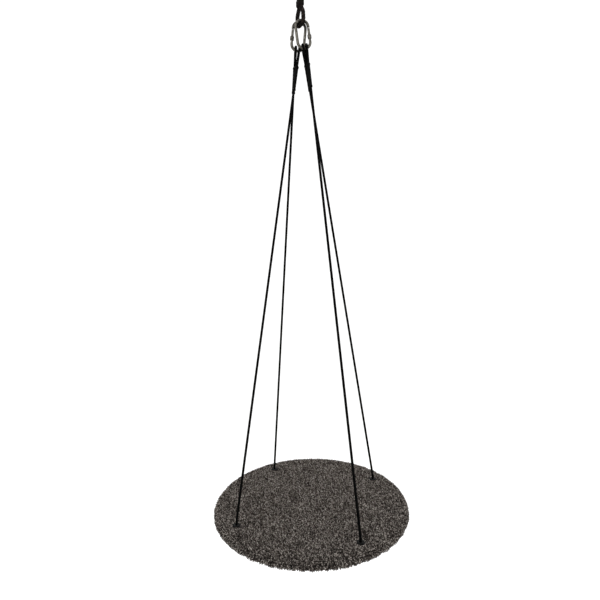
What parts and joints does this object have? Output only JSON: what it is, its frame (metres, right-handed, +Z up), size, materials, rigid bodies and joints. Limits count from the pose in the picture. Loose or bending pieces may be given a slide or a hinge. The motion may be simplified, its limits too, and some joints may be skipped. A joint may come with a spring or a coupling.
{
  "type": "hanging disc swing",
  "caption": "Round carpeted seat hung on four black ropes from two screw-lock carabiners and a short rope strop with a steel hanging eye.",
  "frame": {"origin": "centre of the hanging eye's bore, at the top of the strop", "axes": "+Z up along the line of hang, +Y along the hanging eye's bore, +X to the right seen from the front"},
  "size_m": [0.7999, 0.8, 2.2528],
  "materials": {
    "thimble_steel": "zinc plated",
    "collar_black": "shrunk sleeve, satin",
    "strop_rope": "plaited polyester",
    "carabiner_zinc": "zinc plated, dulled",
    "nut_steel": "knurled, zinc plated",
    "pin_steel": "bright drawn",
    "rope_black": "plaited polyester",
    "sleeve_black": "shrunk sleeve, satin",
    "grommet_black": "moulded nylon",
    "washer_zinc": "zinc plated",
    "plywood": "sanded birch plywood",
    "carpet_pile": "shag pile, two tones",
    "staple_wire": "galvanised wire"
  },
  "bodies": {
    "hanger": {"hanging_thimble": "thimble_steel"},
    "strop_top": {"strop_upper_eye": "strop_rope", "strop_upper_collar": "collar_black", "strop_stem": "strop_rope"},
    "strop_bottom": {"strop_lower_collar": "collar_black", "strop_lower_eye": "strop_rope"},
    "carabiner_left": {"left_carabiner_body": "carabiner_zinc"},
    "gate_left": {"left_carabiner_gate": "carabiner_zinc", "left_carabiner_rivet": "pin_steel", "left_carabiner_spring": "pin_steel", "left_carabiner_plunger": "pin_steel"},
    "nut_left": {"left_carabiner_nut": "nut_steel"},
    "carabiner_right": {"right_carabiner_body": "carabiner_zinc"},
    "gate_right": {"right_carabiner_gate": "carabiner_zinc", "right_carabiner_rivet": "pin_steel", "right_carabiner_spring": "pin_steel", "right_carabiner_plunger": "pin_steel"},
    "nut_right": {"right_carabiner_nut": "nut_steel"},
    "seat": {"front_left_rope": "rope_black", "front_left_rope_eye": "rope_black", "front_left_rope_sleeve": "sleeve_black", "front_left_rope_knot": "rope_black", "front_left_grommet": "grommet_black", "front_left_washer": "washer_zinc", "back_left_rope": "rope_black", "back_left_rope_eye": "rope_black", "back_left_rope_sleeve": "sleeve_black", "back_left_rope_knot": "rope_black", "back_left_grommet": "grommet_black", "back_left_washer": "washer_zinc", "back_right_rope": "rope_black", "back_right_rope_eye": "rope_black", "back_right_rope_sleeve": "sleeve_black", "back_right_rope_knot": "rope_black", "back_right_grommet": "grommet_black", "back_right_washer": "washer_zinc", "front_right_rope": "rope_black", "front_right_rope_eye": "rope_black", "front_right_rope_sleeve": "sleeve_black", "front_right_rope_knot": "rope_black", "front_right_grommet": "grommet_black", "front_right_washer": "washer_zinc", "seat_board": "plywood", "carpet_cover": "carpet_pile", "carpet_hem": "carpet_pile", "staples": "staple_wire"}
  },
  "joints": [
    {"name": "side_swing", "type": "hinge", "parent": "hanger", "child": "strop_top", "pos_m": [0, 0, 0], "axis": [0, 1, 0], "range_deg": [-30, 30]},
    {"name": "strop_twist", "type": "hinge", "parent": "strop_top", "child": "strop_bottom", "pos_m": [0, 0, -0.105], "axis": [0, 0, 1], "range_deg": [-90, 90]},
    {"name": "left_link_swing", "type": "hinge", "parent": "strop_bottom", "child": "carabiner_left", "pos_m": [0, 0, -0.198], "axis": [0.5, -0.866, 0], "range_deg": [-10, 10]},
    {"name": "left_gate_open", "type": "hinge", "parent": "carabiner_left", "child": "gate_left", "pos_m": [-0.03082, 0.00384, -0.21397], "axis": [0.139, -0.9894, -0.0425], "range_deg": [0, 20], "stiffness_Nm_per_rad": 0.05, "springref_deg": -20.05},
    {"name": "left_nut_lock", "type": "slide", "parent": "gate_left", "child": "nut_left", "axis": [-0.1183, 0.026, -0.9926], "range_m": [0, 0.0085]},
    {"name": "right_link_swing", "type": "hinge", "parent": "strop_bottom", "child": "carabiner_right", "pos_m": [0, 0, -0.198], "axis": [0.5, -0.866, 0], "range_deg": [-10, 10]},
    {"name": "right_gate_open", "type": "hinge", "parent": "carabiner_right", "child": "gate_right", "pos_m": [0.03082, -0.00384, -0.21397], "axis": [-0.139, 0.9894, -0.0425], "range_deg": [0, 20], "stiffness_Nm_per_rad": 0.05, "springref_deg": -20.05},
    {"name": "right_nut_lock", "type": "slide", "parent": "gate_right", "child": "nut_right", "axis": [0.1183, -0.026, -0.9926], "range_m": [0, 0.0085]},
    {"name": "seat_tilt", "type": "hinge", "parent": "carabiner_left", "child": "seat", "pos_m": [0, 0, -0.29225], "axis": [0.8511, -0.525, 0], "range_deg": [-3, 3]}
  ],
  "couplings": [
    {"joint": "right_link_swing", "follows": "left_link_swing", "ratio": 1}
  ]
}
